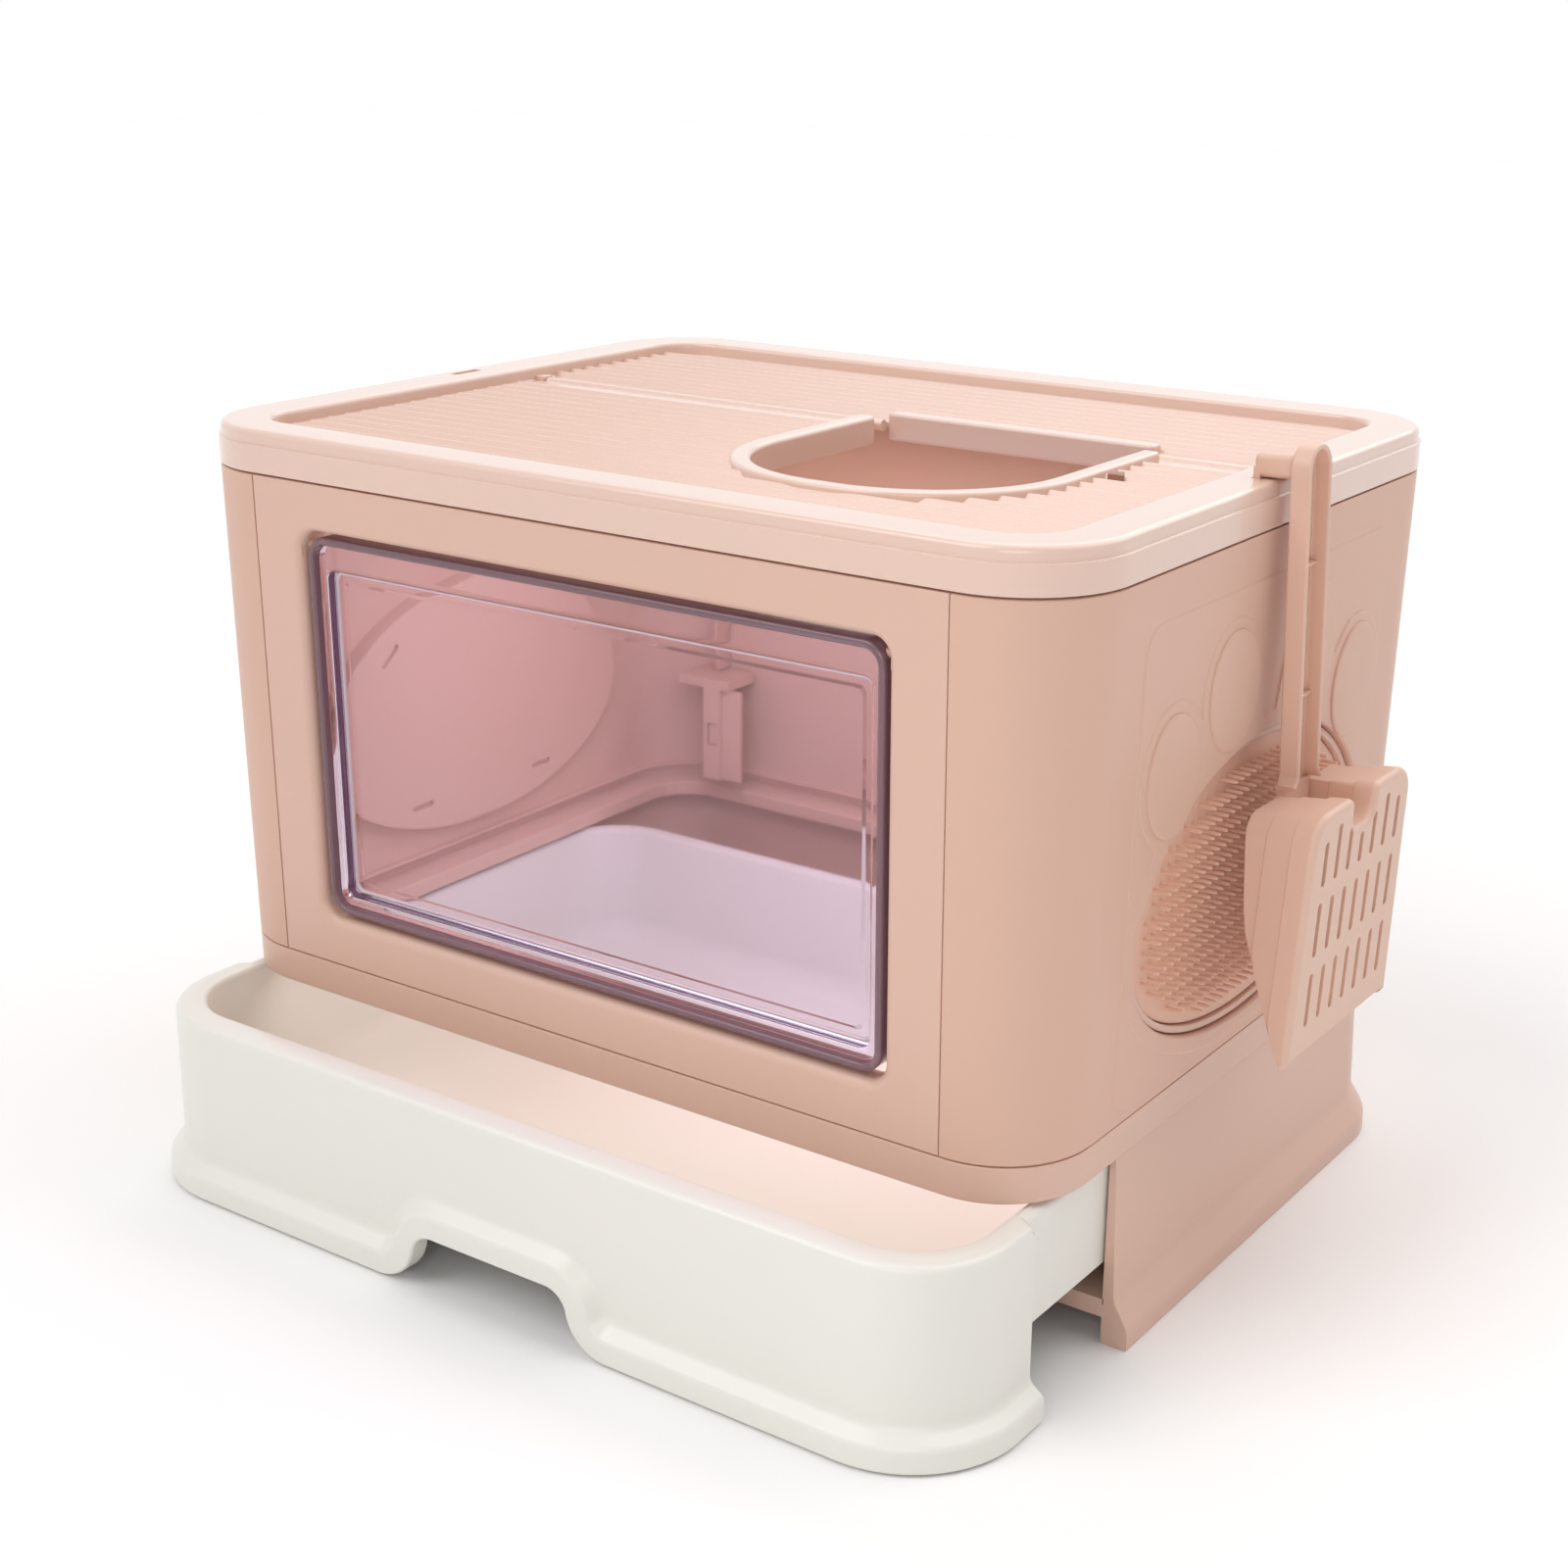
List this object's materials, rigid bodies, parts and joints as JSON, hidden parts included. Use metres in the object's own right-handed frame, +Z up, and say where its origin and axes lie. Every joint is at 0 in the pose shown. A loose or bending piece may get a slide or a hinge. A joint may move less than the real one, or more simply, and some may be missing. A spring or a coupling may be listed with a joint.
{
  "type": "top-entry litter box",
  "caption": "Rounded box with a ribbed top-entry lid, smoked front window flap, side brush pads, hanging scoop and a pull-out litter drawer.",
  "frame": {"origin": "on the floor, under the middle of the box, at the underside of the base's centre foot", "axes": "+X to the right side with the scoop, +Y to the back, +Z up; the drawer pulls out along -Y"},
  "size_m": [0.5624, 0.475, 0.408],
  "materials": {
    "shell_plastic": "satin",
    "tray_plastic": "satin",
    "smoked_window": "polished",
    "pin_plastic": "satin",
    "brush_rubber": "matte"
  },
  "bodies": {
    "cabinet": {"base_frame": "shell_plastic", "front_panel": "shell_plastic", "rear_panel": "shell_plastic", "right_side_panel": "shell_plastic", "left_side_panel": "shell_plastic", "rear_right_clip": "shell_plastic", "rear_left_clip": "shell_plastic", "front_right_clip": "shell_plastic", "front_left_clip": "shell_plastic", "brush_carrier_right": "shell_plastic", "brush_carrier_left": "shell_plastic", "brush_mat_right": "brush_rubber", "brush_mat_left": "brush_rubber"},
    "drawer": {"drawer_tray": "tray_plastic"},
    "window": {"window_flap": "smoked_window", "window_hinge_pins": "pin_plastic"},
    "lid": {"lid_frame": "shell_plastic"},
    "deck": {"lid_flap": "shell_plastic", "lid_hinge_pins": "pin_plastic"},
    "scoop": {"litter_scoop": "shell_plastic"}
  },
  "joints": [
    {"name": "drawer_slide", "type": "slide", "parent": "cabinet", "child": "drawer", "axis": [0, -1, 0], "range_m": [-0.073, 0.2]},
    {"name": "window_swing", "type": "hinge", "parent": "cabinet", "child": "window", "pos_m": [0, -0.19297, 0.337], "axis": [1, 0, 0], "range_deg": [-75, 75]},
    {"name": "lid_lift", "type": "slide", "parent": "cabinet", "child": "lid", "axis": [0, 0, 1], "range_m": [0, 0.15]},
    {"name": "deck_hinge", "type": "hinge", "parent": "lid", "child": "deck", "pos_m": [0, 0.045, 0.38175], "axis": [-1, 0, 0], "range_deg": [0, 100]},
    {"name": "scoop_lift", "type": "slide", "parent": "lid", "child": "scoop", "axis": [0, 0, 1], "range_m": [0, 0.12]}
  ]
}
